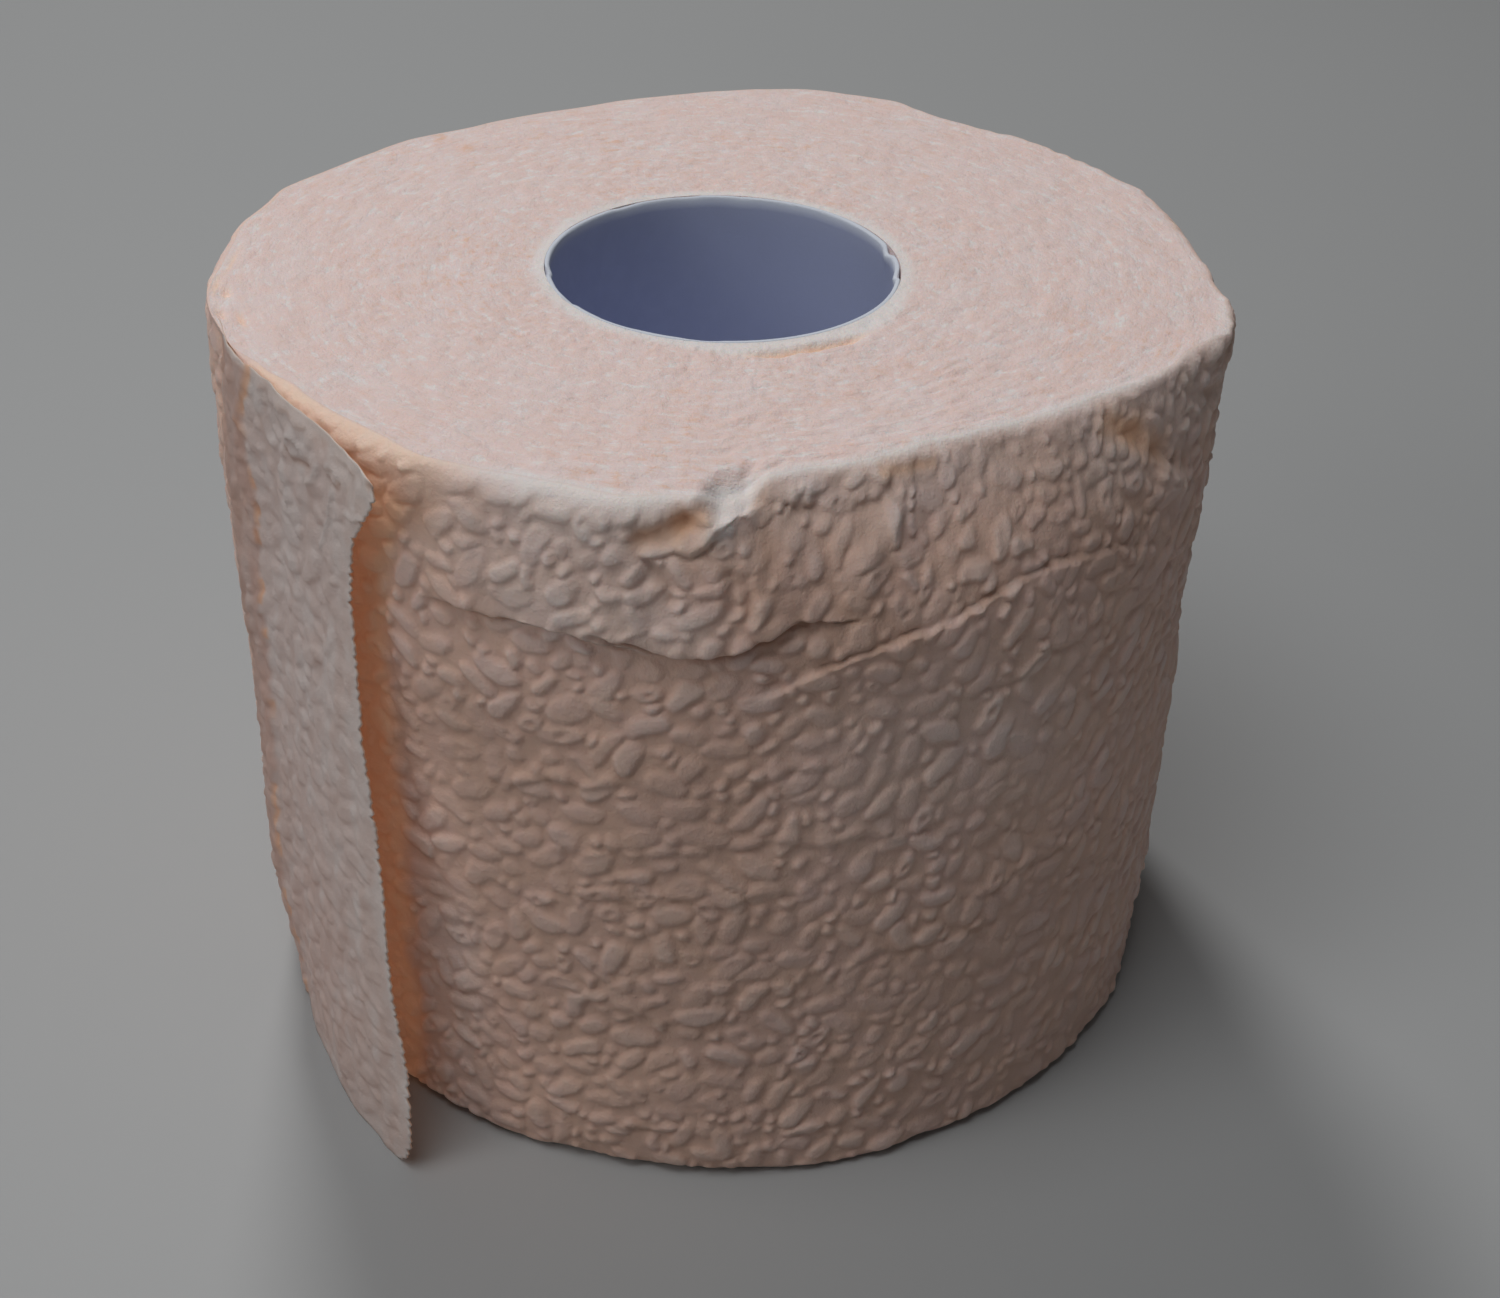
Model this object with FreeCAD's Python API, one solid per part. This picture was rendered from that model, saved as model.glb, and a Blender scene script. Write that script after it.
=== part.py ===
import FreeCAD, Part
import math
import os

# Toilet paper roll standing on one end. Millimetres, +Z up.
# The origin is on the axis of the cardboard core, in the plane that the roll stands on.
# Angles are in degrees about that axis, seen from above: 0 is +X, 90 is the back, 270 is the front.

# Overall size of the roll
roll_height = 95.0
roll_radius = 59.9
edge_round = 1.4

# Cardboard core
core_bore_radius = 21.15
core_wall = 0.6
core_fit = 0.05

# Uneven outline. The lower end is a circle set off to one side of the core.
# Each swelling of the upper end: its height, then the angles where it starts, is full, stays full and ends.
lower_end_offset = 1.8
outline_step = 5
back_swelling = 5.2
back_swelling_span = (52, 74, 80, 106)
right_swelling = 2.4
right_swelling_span = (5, 30, 45, 64)
back_flat = -2.2
back_flat_span = (98, 118, 128, 150)
left_swelling = 1.8
left_swelling_span = (148, 162, 188, 208)
corner_swelling = 1.6
corner_swelling_span = (338, 349, 352, 362)

# The side bulges under the loose end, less so by this share at the upper edge
bulge = 2.3
bulge_span = (176, 201, 204, 216)
bulge_top_loss = 0.7

# The upper edge is pushed in at the front right, as deep as this at the top
lean_depth = -7.6
lean_span = (269, 282, 314, 349)
lean_band = 19.0
lean_power = 1.5

# Fold pinched into the upper edge at the left end of the pushed-in stretch
pinch_angle = 274.5
pinch_width = 6.5
pinch_drop = 10.0
pinch_depth = 5.0
pinch_reach = 2.0

# Buckling creases round the side: start and end angle, start and end height, depth and opening
main_crease_span = (238.0, 282.0)
main_crease_heights = (78.6, 79.2)
main_crease_depth = 1.5
main_crease_opening = 2.6
upper_crease_span = (262.0, 326.0)
upper_crease_heights = (71.5, 81.5)
upper_crease_depth = 1.2
upper_crease_opening = 2.2
# The wedge that cuts a crease runs out this far, and its upper flank is this much flatter than its lower one
crease_reach = 4.0
crease_flatness = 0.25

# Spiral grooves on both end faces, which show the edges of the wound turns
turn_pitch = 5.2
turn_groove_width = 0.7
turn_groove_depth = 0.9
turn_margin = 1.6
turn_start_angle = 200.0
turn_step = 7.5
# The innermost groove starts this share of a turn out from the bore
turn_first_share = 0.4

# Slack gap beside the core, where the first turns have come away from the rest
slack_span = (271.0, 317.0)
slack_width = 1.2
slack_depth = 3.0
slack_inset = 2.0

# Loose end of the web: a sheet that leaves the roll and stands off it, further at the floor.
# At the floor it leaves evenly; at the upper edge it clings to the side, then curls away.
sheet_thickness = 0.45
tail_span = (199.0, 240.0)
tail_lift_lower = 10.4
tail_lift_upper = 6.0
tail_curl_lower = 1.11
tail_curl_upper = 4.6
tail_arcs = 4
# The sheet's middle starts this far inside the side, and the sheet is drawn this much longer than its span
tail_sink = 0.18
tail_overrun = 1.04

# Torn edge of the loose end: how far the tear runs back into the sheet at each height
tear_depths = ((0.0, 0.0), (16.8, 0.1), (24.2, 1.8), (40.0, 3.5), (46.7, 5.0), (54.0, 6.0), (61.0, 7.1),
               (71.6, 8.0), (77.0, 8.5), (82.0, 8.0), (84.8, 7.0), (88.0, 4.5), (91.2, 1.7), (95.0, 0.0))
tear_design_height = 95.0
tooth_pitch = 3.0
tooth_depth = 0.6
# The waste cut away beyond the tear is this wide, and starts this far inside the side
waste_width = 12.0
waste_inset = 12.0

# Cuts run past the faces they open by this much
overcut = 1.0

# Sizes that follow from those above
core_outer_radius = core_bore_radius + core_wall
web_bore_radius = core_outer_radius + core_fit


def smooth(value):
    value = min(1.0, max(0.0, value))
    return value * value * (3.0 - 2.0 * value)


def window(angle, span):
    """1 between the middle two angles of the span, fading to 0 at the outer two."""
    start, full, still_full, end = span
    for turned in (angle, angle + 360.0):
        if start < turned < end:
            return smooth((turned - start) / (full - start)) * smooth((end - turned) / (end - still_full))
    return 0.0


def outline_radius(angle, height):
    """Distance from the core's axis to the side of the wound turns."""
    up = height / roll_height
    swelling = (
        back_swelling * window(angle, back_swelling_span)
        + right_swelling * window(angle, right_swelling_span)
        + back_flat * window(angle, back_flat_span)
        + left_swelling * window(angle, left_swelling_span)
        + corner_swelling * window(angle, corner_swelling_span)
    )
    offset = lower_end_offset * math.cos(math.radians(angle))
    rise = max(0.0, 1.0 - (roll_height - height) / lean_band) ** lean_power
    lean = lean_depth * window(angle, lean_span) * rise
    bulging = bulge * window(angle, bulge_span) * (1.0 - bulge_top_loss * rise)
    return roll_radius + (1.0 - up) * offset + up * swelling + lean + bulging


def polar(radius, angle, height):
    turn = math.radians(angle)
    return FreeCAD.Vector(radius * math.cos(turn), radius * math.sin(turn), height)


def arc_chain(points):
    """Arcs through the points, each from one point through the next to the one after."""
    edges = []
    for start, middle, end in zip(points[0::2], points[1::2], points[2::2]):
        if middle.distanceToLine(start, end - start) > 1e-5:
            edges.append(Part.Arc(start, middle, end).toShape())
        else:
            edges.append(Part.makeLine(start, end))
    return edges


def outline_wire(height):
    """Level outline of the side, drawn in where it rounds over to either end face."""
    above_edge = min(edge_round, height, roll_height - height)
    inset = edge_round - math.sqrt(edge_round ** 2 - (edge_round - above_edge) ** 2)
    angles = list(range(0, 360, outline_step)) + [0]
    points = [polar(outline_radius(angle, height) - inset, angle, height) for angle in angles]
    return Part.Wire(arc_chain(points))


def wound_turns():
    """The body of the roll: level outlines joined by ruled bands, rounded where it meets both end faces."""
    lean_start = roll_height - lean_band
    side_top = roll_height - edge_round
    rim = [edge_round * (1.0 - math.cos(math.radians(angle))) for angle in (0, 50, 90)]
    heights = rim + [0.5 * lean_start]
    heights += [lean_start + (side_top - lean_start) * part / 3.0 for part in range(3)]
    heights += [roll_height - height for height in reversed(rim)]
    body = Part.makeLoft([outline_wire(height) for height in heights], True, True)
    return body.cut(Part.makeCylinder(web_bore_radius, roll_height))


def pinch_cutter():
    """A four-sided point that folds the upper edge inwards to a line."""
    radius = outline_radius(pinch_angle, roll_height)
    half_turn = math.degrees(0.5 * pinch_width / radius) * (1.0 + pinch_reach / pinch_depth)
    top = roll_height + pinch_reach
    out = radius + pinch_reach
    left = polar(out, pinch_angle - half_turn, top)
    right = polar(out, pinch_angle + half_turn, top)
    inner = polar(radius - pinch_depth, pinch_angle, top)
    lower = polar(out, pinch_angle, roll_height - pinch_drop)
    corners = [(left, right, inner), (left, right, lower), (left, inner, lower), (right, inner, lower)]
    faces = [Part.Face(Part.makePolygon([a, b, c, a])) for a, b, c in corners]
    return Part.makeSolid(Part.makeShell(faces))


def crease_cutter(span, heights, depth, opening):
    """A wedge that bites into the side along an arc flatter than the roll, so it fades at both ends."""
    middle = 0.5 * (span[0] + span[1])
    half = math.radians(0.5 * (span[1] - span[0]))
    rise = 0.5 * (heights[1] - heights[0])
    mid_height = 0.5 * (heights[0] + heights[1])
    radius = outline_radius(middle, mid_height)
    # The flatter arc passes depth inside the side at its middle and meets the side at its ends
    back = (radius ** 2 - (radius - depth) ** 2) / (2.0 * (radius - depth - radius * math.cos(half)))
    arc_radius = radius - depth + back
    drop = crease_reach * opening / depth
    profile = Part.makePolygon([
        FreeCAD.Vector(arc_radius, 0.0, 0.0),
        FreeCAD.Vector(arc_radius + crease_reach, 0.0, crease_flatness * drop),
        FreeCAD.Vector(arc_radius + crease_reach, 0.0, -drop),
        FreeCAD.Vector(arc_radius, 0.0, 0.0),
    ])
    sweep = 2.0 * math.degrees(half)
    cutter = Part.Face(profile).revolve(FreeCAD.Vector(), FreeCAD.Vector(0, 0, 1), sweep)
    cutter.rotate(FreeCAD.Vector(), FreeCAD.Vector(0, 0, 1), -0.5 * sweep)
    tilt = math.degrees(math.atan2(rise, radius * math.sin(half)))
    cutter.rotate(FreeCAD.Vector(arc_radius, 0, 0), FreeCAD.Vector(1, 0, 0), tilt)
    cutter.translate(FreeCAD.Vector(-back, 0, mid_height))
    cutter.rotate(FreeCAD.Vector(), FreeCAD.Vector(0, 0, 1), middle)
    return cutter


def slack_cutter():
    """A crescent between the first turns and the rest."""
    radius = web_bore_radius + slack_inset
    middle = 0.5 * (slack_span[0] + slack_span[1])
    low = roll_height - slack_depth
    start, end = (polar(radius, angle, low) for angle in slack_span)
    inner = Part.Arc(start, polar(radius, middle, low), end).toShape()
    outer = Part.Arc(start, polar(radius + slack_width, middle, low), end).toShape()
    return Part.Face(Part.Wire([inner, outer])).extrude(FreeCAD.Vector(0, 0, slack_depth + overcut))


def turn_groove(low, high):
    """A spiral slot between two heights, round beside the core and shaped like the outline further out."""
    mid_height = 0.5 * (low + high)
    wound = roll_radius - web_bore_radius - turn_margin
    count = int((wound / turn_pitch - turn_first_share) * 360.0 / turn_step)
    sides = ([], [])
    for index in range(count + 1):
        angle = turn_start_angle + (index - count) * turn_step
        share = (index * turn_step / 360.0 + turn_first_share) * turn_pitch / wound
        reach = outline_radius(angle % 360.0, mid_height) - turn_margin - web_bore_radius
        radius = web_bore_radius + share * reach
        for side, shift in zip(sides, (-0.5, 0.5)):
            side.append(polar(radius + shift * turn_groove_width, angle, low))
    ribbon = sides[0] + sides[1][::-1] + sides[0][:1]
    return Part.Face(Part.makePolygon(ribbon)).extrude(FreeCAD.Vector(0, 0, high - low))


def tail_profile(height, lift, curl):
    """Level section of the loose end, from inside the roll's side out past the torn edge."""
    first, last = tail_span
    sides = ([], [])
    for index in range(2 * tail_arcs + 1):
        share = tail_overrun * index / (2.0 * tail_arcs)
        angle = first + share * (last - first)
        radius = outline_radius(angle, height) + lift * share ** curl - tail_sink
        for side, shift in zip(sides, (-0.5, 0.5)):
            side.append(polar(radius + shift * sheet_thickness, angle, height))
    inner, outer = sides
    edges = arc_chain(inner) + [Part.makeLine(inner[-1], outer[-1])]
    edges += arc_chain(outer[::-1]) + [Part.makeLine(outer[0], inner[0])]
    return Part.Wire(edges)


def tear_depth(height):
    """How far the tear runs back at a height, without its teeth."""
    scaled = height * tear_design_height / roll_height
    for (low, first), (high, second) in zip(tear_depths, tear_depths[1:]):
        if scaled <= high:
            return first + (second - first) * (scaled - low) / (high - low)
    return tear_depths[-1][1]


def tear_cutter():
    """The waste beyond the torn edge: a toothed outline, square to the sheet."""
    teeth = int(roll_height / tooth_pitch)
    angle = tail_span[1]
    edge = []
    for index in range(2 * teeth + 1):
        height = roll_height * index / (2.0 * teeth)
        edge.append((tooth_depth * (index % 2) - tear_depth(height), height))
    edge[0] = (edge[0][0], -overcut)
    edge[-1] = (edge[-1][0], roll_height + overcut)
    outline = edge + [(waste_width, roll_height + overcut), (waste_width, -overcut), edge[0]]
    across = FreeCAD.Vector(-math.sin(math.radians(angle)), math.cos(math.radians(angle)), 0.0)
    start = polar(roll_radius - waste_inset, angle, 0.0)
    reach = waste_inset + 2.0 * max(tail_lift_lower, tail_lift_upper)
    points = [start + across * along + FreeCAD.Vector(0, 0, height) for along, height in outline]
    return Part.Face(Part.makePolygon(points)).extrude(polar(reach, angle, 0.0))


def loose_tail():
    lower = tail_profile(0.0, tail_lift_lower, tail_curl_lower)
    upper = tail_profile(roll_height, tail_lift_upper, tail_curl_upper)
    return Part.makeLoft([lower, upper], True, True).cut(tear_cutter())


def wound_paper():
    body = wound_turns()
    body = body.cut(pinch_cutter())
    for span, heights, depth, opening in (
        (main_crease_span, main_crease_heights, main_crease_depth, main_crease_opening),
        (upper_crease_span, upper_crease_heights, upper_crease_depth, upper_crease_opening),
    ):
        body = body.cut(crease_cutter(span, heights, depth, opening))
    body = body.cut(slack_cutter())
    body = body.fuse(loose_tail())
    body = body.cut(turn_groove(roll_height - turn_groove_depth, roll_height + overcut))
    body = body.cut(turn_groove(-overcut, turn_groove_depth))
    return body.Solids[0]


def core_tube():
    outside = Part.makeCylinder(core_outer_radius, roll_height)
    return outside.cut(Part.makeCylinder(core_bore_radius, roll_height))


os.makedirs("parts", exist_ok=True)
for name, shape in (("core_tube", core_tube()), ("wound_paper", wound_paper())):
    shape.exportStep("parts/" + name + ".step")
    print(name, "valid", shape.isValid(), "solids", len(shape.Solids), "volume", round(shape.Volume, 1))
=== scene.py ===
import math
import bpy
import numpy as np
from mathutils import Matrix, Vector


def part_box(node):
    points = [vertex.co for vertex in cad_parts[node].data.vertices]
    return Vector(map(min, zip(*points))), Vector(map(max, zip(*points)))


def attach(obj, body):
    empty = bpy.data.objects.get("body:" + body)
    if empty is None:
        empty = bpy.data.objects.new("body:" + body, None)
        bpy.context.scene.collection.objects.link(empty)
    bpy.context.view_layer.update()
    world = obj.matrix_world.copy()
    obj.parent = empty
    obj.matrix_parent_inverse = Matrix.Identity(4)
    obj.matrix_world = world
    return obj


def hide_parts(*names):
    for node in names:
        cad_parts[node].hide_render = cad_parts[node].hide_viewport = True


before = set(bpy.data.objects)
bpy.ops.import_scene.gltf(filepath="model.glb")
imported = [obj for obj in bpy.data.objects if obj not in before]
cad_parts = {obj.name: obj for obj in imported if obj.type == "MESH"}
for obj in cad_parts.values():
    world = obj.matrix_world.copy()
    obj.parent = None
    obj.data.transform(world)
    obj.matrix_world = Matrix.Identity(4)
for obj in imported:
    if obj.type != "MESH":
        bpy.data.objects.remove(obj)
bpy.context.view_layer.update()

# Everything below is worked out in millimetres and written to the meshes in metres.
# Angles are degrees about the core's axis, seen from above: 0 is the right, 90 the back, 270 the front.

mm = 0.001
lowCorner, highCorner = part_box("wound_paper")
rollHeight = highCorner.z / mm
coreLow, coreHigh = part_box("core_tube")
coreOuter = coreHigh.x / mm

rollShape = {
    "radius": 59.9,
    "edgeRound": 1.1,
    "lowerEdgeRound": 1.9,
    # how much rounder the upper edge is, and between which angles
    "slumps": [
        (1.7, (238, 250, 262, 270)),
        (1.6, (268, 271.5, 274.0, 277.5)),
        (-0.9, (184, 196, 206, 213)),
        (0.9, (212, 219, 232, 240)),
    ],
    # a chute of paper edges beside the pinch, made pale with a painted highlight: angles, how deep it dips and
    # how far in it reaches
    "chuteSpan": (268.6, 271.8, 273.8, 277.0),
    "chuteDepth": 1.7,
    "chuteReach": 3.4,
    # where the upper end is drawn in: depth, angles, and how far down that reaches
    "drawnIn": [
        (-2.5, (261, 271, 274, 281), 10.0),
        (-1.5, (290, 299, 306, 316), 12.0),
    ],
    "lowerEndOffset": 1.8,
    # each swelling of the upper end: height, then the angles where it starts, is full, still is full and ends
    "swellings": [
        (5.2, (52, 74, 80, 106)),
        (2.4, (5, 30, 45, 64)),
        (-2.2, (98, 118, 128, 150)),
        (1.8, (148, 162, 188, 208)),
        (1.6, (338, 349, 352, 362)),
    ],
    # the side bulges under the loose end, less so at the upper edge
    "bulge": 2.3,
    "bulgeSpan": (176, 201, 204, 216),
    "bulgeTopLoss": 0.7,
    "bulgeFootLoss": 0.85,
    "leanDepth": -7.6,
    "leanSpan": (269, 282, 314, 349),
    "leanBand": 19.0,
    "leanPower": 1.5,
    "boreClearance": 0.05,
    # how far in the upper and lower edges lie, and less so where the loose end clings to the side
    "recess": 0.25,
    "tightness": 0.4,
    "tightSpan": (190, 198, 212, 224),
    # where the upper edge is most frayed, given once on each side of 0 degrees
    "frayedSpans": [(300, 350, 400, 440), (-60, -10, 40, 80)],
}

gridSteps = {
    "frontSpan": (195.0, 365.0),
    "frontStep": 0.32,
    "backStep": 0.5,
    "lowerSideStep": 0.38,
    "upperSideStep": 0.29,
    "upperSideFrom": 70.0,
    "topStep": 0.52,
    "bottomStep": 1.5,
    "rimRows": 9,
}

grains = {
    "height": 0.66,
    # laid one size after the other: how many tries, half lengths and half widths
    "sizes": [
        (3200, (2.0, 3.1), (1.0, 1.45)),
        (11000, (1.25, 2.0), (0.85, 1.2)),
        (16000, (0.65, 1.05), (0.55, 0.8)),
    ],
    "gap": 0.12,
    "margin": 4.0,
    "step": 0.16,
    "edgeAbove": 0.9,
    "edgeBelow": 0.5,
    "waver": 0.42,
    "craterShare": 0.09,
    "broadSwell": 0.55,
    "seed": 11,
}

creases = [
    # above: how proud the paper stands over the line and how far up that fades; below: the same under it. dark
    # is how strong the painted shade along the slit is.
    # the first two are the deep fold at the front, whose grains hang over a slit darkened with painted shade
    {"angles": (240, 246, 251.2, 255.5, 258.9, 261.7, 265),
     "heights": (78.0, 78.8, 79.1, 79.1, 78.5, 77.7, 76.6),
     "span": (238, 246, 259, 265), "above": 1.5, "aboveWidth": 14.0, "below": -0.4, "belowWidth": 2.4,
     "slitAt": -0.1, "slit": 1.1, "slitWidth": 0.42, "droop": 0.3, "waver": 0.7, "broken": 0.5, "dark": 0.9},
    {"angles": (256, 260.9, 265.0, 269.0, 272.9, 275.7, 279.4, 284),
     "heights": (80.2, 79.6, 78.4, 77.7, 78.3, 79.8, 80.7, 81.0),
     "span": (257, 263, 274, 284), "above": 1.6, "aboveWidth": 14.0, "below": -0.6, "belowWidth": 2.6,
     "slitAt": -0.15, "slit": 1.6, "slitWidth": 0.55, "droop": 0.45, "waver": 0.8, "broken": 0.1,
     "dark": 1.0},
    {"angles": (278, 279.8, 282.5, 285.2, 289), "heights": (82.0, 81.6, 81.0, 80.6, 80.4),
     "span": (278, 281, 284, 289), "above": 0.3, "aboveWidth": 3.0, "below": -0.2, "belowWidth": 1.2,
     "slitAt": 0.0, "slit": 0.4, "slitWidth": 0.26, "droop": 0.4, "waver": 0.5, "broken": 0.0, "dark": 0.5},
    # the long thin fold that climbs to the right, proud below its line
    {"angles": (268, 277.5, 280.6, 285.1, 289.7, 297.1, 304.4, 310.6, 318.5, 328.1, 336, 345),
     "heights": (70.0, 72.9, 74.8, 76.3, 77.5, 78.6, 80.6, 81.0, 79.8, 76.3, 75.8, 75.6),
     "span": (270, 280, 314, 334), "above": -0.25, "aboveWidth": 1.6, "below": 0.42, "belowWidth": 2.2,
     "slitAt": 0.4, "slit": 0.3, "slitWidth": 0.3, "droop": 0.0, "waver": 0.35, "broken": 1.4, "dark": 0.45},
]

strokes = [
    # small forms round the upper edge: path (angle, height), how proud and wide, then painted shade, painted
    # glow and pale, which is a painted highlight
    # the pocket, brown with painted shade and painted glow, with the curl of paper beside it
    {"path": ((263.6, 91.3), (266.0, 91.9), (267.8, 92.6)), "proud": -0.8, "width": 1.2, "shade": 0.5,
     "glow": 0.55},
    {"path": ((267.8, 92.6), (269.3, 93.6)), "proud": -0.4, "width": 1.0, "shade": 0.45, "glow": 0.6},
    {"path": ((270.2, 93.4), (270.4, 92.0), (269.8, 90.8), (268.6, 90.2), (267.6, 90.6)), "proud": 0.6,
     "width": 0.9, "glow": 0.15, "pale": 0.2},
    {"path": ((271.2, 92.0), (270.6, 90.2), (268.8, 89.2), (267.2, 89.7)), "proud": -0.3, "width": 0.32,
     "shade": 0.35},
    {"path": ((264.6, 88.6), (266.4, 86.6), (266.9, 84.6)), "proud": -0.4, "width": 0.6, "shade": 0.3},
    # the slope of paper edges to the right of it, with a painted highlight
    {"path": ((274.4, 95.0), (272.6, 94.0), (271.4, 92.2)), "proud": 0.7, "width": 1.2, "pale": 1.0},
    {"path": ((275.6, 93.4), (276.6, 88.4)), "proud": -0.4, "width": 1.2, "shade": 0.25, "glow": 0.15},
    {"path": ((272.4, 87.0), (272.9, 83.4)), "proud": -0.5, "width": 0.7, "shade": 0.15},
    {"path": ((274.3, 85.8), (274.9, 82.6)), "proud": -0.5, "width": 0.6, "shade": 0.2},
    # small hollows further right, with painted shade in them and small painted highlights
    {"path": ((278.8, 92.3), (280.2, 91.6), (282.0, 91.7)), "proud": -0.3, "width": 0.5, "shade": 0.3},
    {"path": ((279.6, 93.6), (281.2, 93.5)), "proud": 0.5, "width": 0.7, "pale": 0.3},
    {"path": ((284.6, 91.8), (287.0, 91.1), (289.6, 91.4), (291.2, 92.6)), "proud": -0.3, "width": 0.6,
     "shade": 0.28},
    {"path": ((290.4, 94.0), (294.0, 93.6), (297.4, 93.5)), "proud": -0.3, "width": 0.55, "shade": 0.25,
     "glow": 0.6},
    {"path": ((291.4, 90.4), (288.6, 88.0), (285.8, 85.0)), "proud": 0.7, "width": 1.5, "pale": 0.15},
    # the pocket at the far right, with painted shade and painted glow, and the fold that runs down from it
    {"path": ((322.4, 92.4), (326.0, 90.6)), "proud": -0.4, "width": 1.7, "shade": 0.22, "glow": 0.7},
    {"path": ((326.0, 90.2), (330.0, 87.2)), "proud": -0.5, "width": 2.0, "shade": 0.4, "glow": 0.6},
    {"path": ((330.0, 86.6), (336.0, 83.0)), "proud": -0.6, "width": 1.1, "shade": 0.4},
    {"path": ((331.0, 83.2), (334.5, 81.0)), "proud": 0.8, "width": 1.8, "pale": 0.2},
    {"path": ((345.0, 92.6), (349.0, 92.8)), "proud": -0.4, "width": 1.0, "shade": 0.45},
    {"path": ((341.0, 89.2), (343.6, 88.6)), "proud": -0.4, "width": 1.1, "shade": 0.4},
]

washes = [
    # broad washes of painted light, painted shade and painted glow: mark, strength, angles, then the heights
    # where it starts and is full
    ("pale", 0.5, (208, 216, 236, 246), 90, 93),
    ("pale", 0.3, (246, 254, 300, 330), 86, 94),
    ("pale", 0.25, (232, 242, 264, 270), 80, 87),
    ("pale", 0.3, (312, 322, 342, 352), 82, 88),
    ("pale", 0.4, (233.5, 236, 240, 247), 42, 28),
    ("shade", 0.34, (240, 246, 270, 284), 74, 62),
    ("shade", 0.16, (266, 282, 318, 340), 50, 35),
    ("glow", 0.5, (208, 215, 238, 247), 84, 89),
]

bands = [
    # bands of painted light and painted shade: mark, strength, angles, then the middle height and how far up
    # and down it reaches
    ("pale", 0.35, (244, 252, 268, 274), 81, 4),
    ("pale", 0.2, (276, 290, 306, 322), 62, 12),
    ("shade", 0.42, (272, 278, 288, 296), 81, 7),
    ("shade", 0.35, (233, 235, 241, 247), 62, 9),
    ("shade", 0.35, (308, 316, 324, 332), 80, 5),
]

gapLight = {
    # painted glow for light that comes through the loose end: where it starts, how far round it reaches and
    # how far up
    "from": 204.0,
    "shadowEdge": 233.6,
    "topReach": 4.0,
    "upTo": 93.0,
}

wrinkles = {
    # how many, their lengths and their heights
    "short": (60, (5.0, 13.0), (0.08, 0.24)),
    "long": (30, (14.0, 38.0), (0.12, 0.28)),
    "seed": 29,
}


def smooth(value):
    value = np.clip(value, 0.0, 1.0)
    return value * value * (3.0 - 2.0 * value)


def window(angle, span):
    # 1 between the middle two angles of the span, fading to 0 at the outer two
    start, full, stillFull, end = span
    turned = start + (angle - start) % 360.0
    inside = smooth((turned - start) / (full - start)) * smooth((end - turned) / (end - stillFull))
    return np.where(turned < end, inside, 0.0)


def bell(value, middle, width):
    return np.exp(-((value - middle) / width) ** 2)


def outlineRadius(angle, height):
    up = height / rollHeight
    swelling = sum(size * window(angle, span) for size, span in rollShape["swellings"])
    offset = rollShape["lowerEndOffset"] * np.cos(np.radians(angle))
    leanRise = np.maximum(1.0 - (rollHeight - height) / rollShape["leanBand"], 0.0) ** rollShape["leanPower"]
    lean = rollShape["leanDepth"] * window(angle, rollShape["leanSpan"]) * leanRise
    bulge = rollShape["bulge"] * window(angle, rollShape["bulgeSpan"])
    bulge = bulge * (1.0 - rollShape["bulgeTopLoss"] * leanRise)
    bulge = bulge * (1.0 - rollShape["bulgeFootLoss"] * np.exp(-height / 9.0))
    return rollShape["radius"] + (1.0 - up) * offset + up * swelling + lean + bulge


def softNoise(angle, height, wide, tall, seed):
    # smooth random values from -1 to 1 that close round the roll; wide and tall are the size of one swell
    columns = max(3, round(2.0 * math.pi * rollShape["radius"] / wide))
    rows = int(200.0 / tall) + 4
    table = np.random.default_rng(seed).uniform(-1.0, 1.0, (rows, columns))
    x = (angle % 360.0) / 360.0 * columns
    y = (height + 50.0) / tall
    column, row = np.floor(x).astype(int), np.clip(np.floor(y).astype(int), 0, rows - 2)
    fx, fy = smooth(x - column), smooth(y - row)
    left, right = column % columns, (column + 1) % columns
    low = table[row, left] * (1.0 - fx) + table[row, right] * fx
    high = table[row + 1, left] * (1.0 - fx) + table[row + 1, right] * fx
    return low * (1.0 - fy) + high * fy


def ringNoise(angle, wide, seed):
    # noise that changes with the angle alone
    return softNoise(angle, angle * 0.0, wide, 5.0, seed)


def levelNoise(height, wide, tall, seed):
    # noise that changes with the height alone
    return softNoise(height * 0.0, height, wide, tall, seed)


def edgeOf(angle):
    # radius of the rounding between the side and the upper end face
    return rollShape["edgeRound"] + sum(size * window(angle, span) for size, span in rollShape["slumps"])


aroundRoll = 2.0 * math.pi * rollShape["radius"]
perDegree = aroundRoll / 360.0


def ovalReach(grain, dx, dy):
    # how far a grain reaches from its middle in a direction
    x, y, long, short, cosine, sine = grain
    return 1.0 / math.hypot((cosine * dx + sine * dy) / long, (cosine * dy - sine * dx) / short)


def grainFits(grain, laid, column, row, across):
    # whether a grain keeps clear of those already laid near it
    cells = [((column + i) % across, row + j) for i in range(-2, 3) for j in range(-2, 3)]
    for cell in cells:
        for other in laid.get(cell, ()):
            dx = (grain[0] - other[0] + 0.5 * aroundRoll) % aroundRoll - 0.5 * aroundRoll
            dy = grain[1] - other[1]
            apart = math.hypot(dx, dy) + 1e-6
            dx, dy = dx / apart, dy / apart
            if apart < ovalReach(grain, dx, dy) + ovalReach(other, dx, dy) + grains["gap"]:
                return False
    return True


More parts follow.
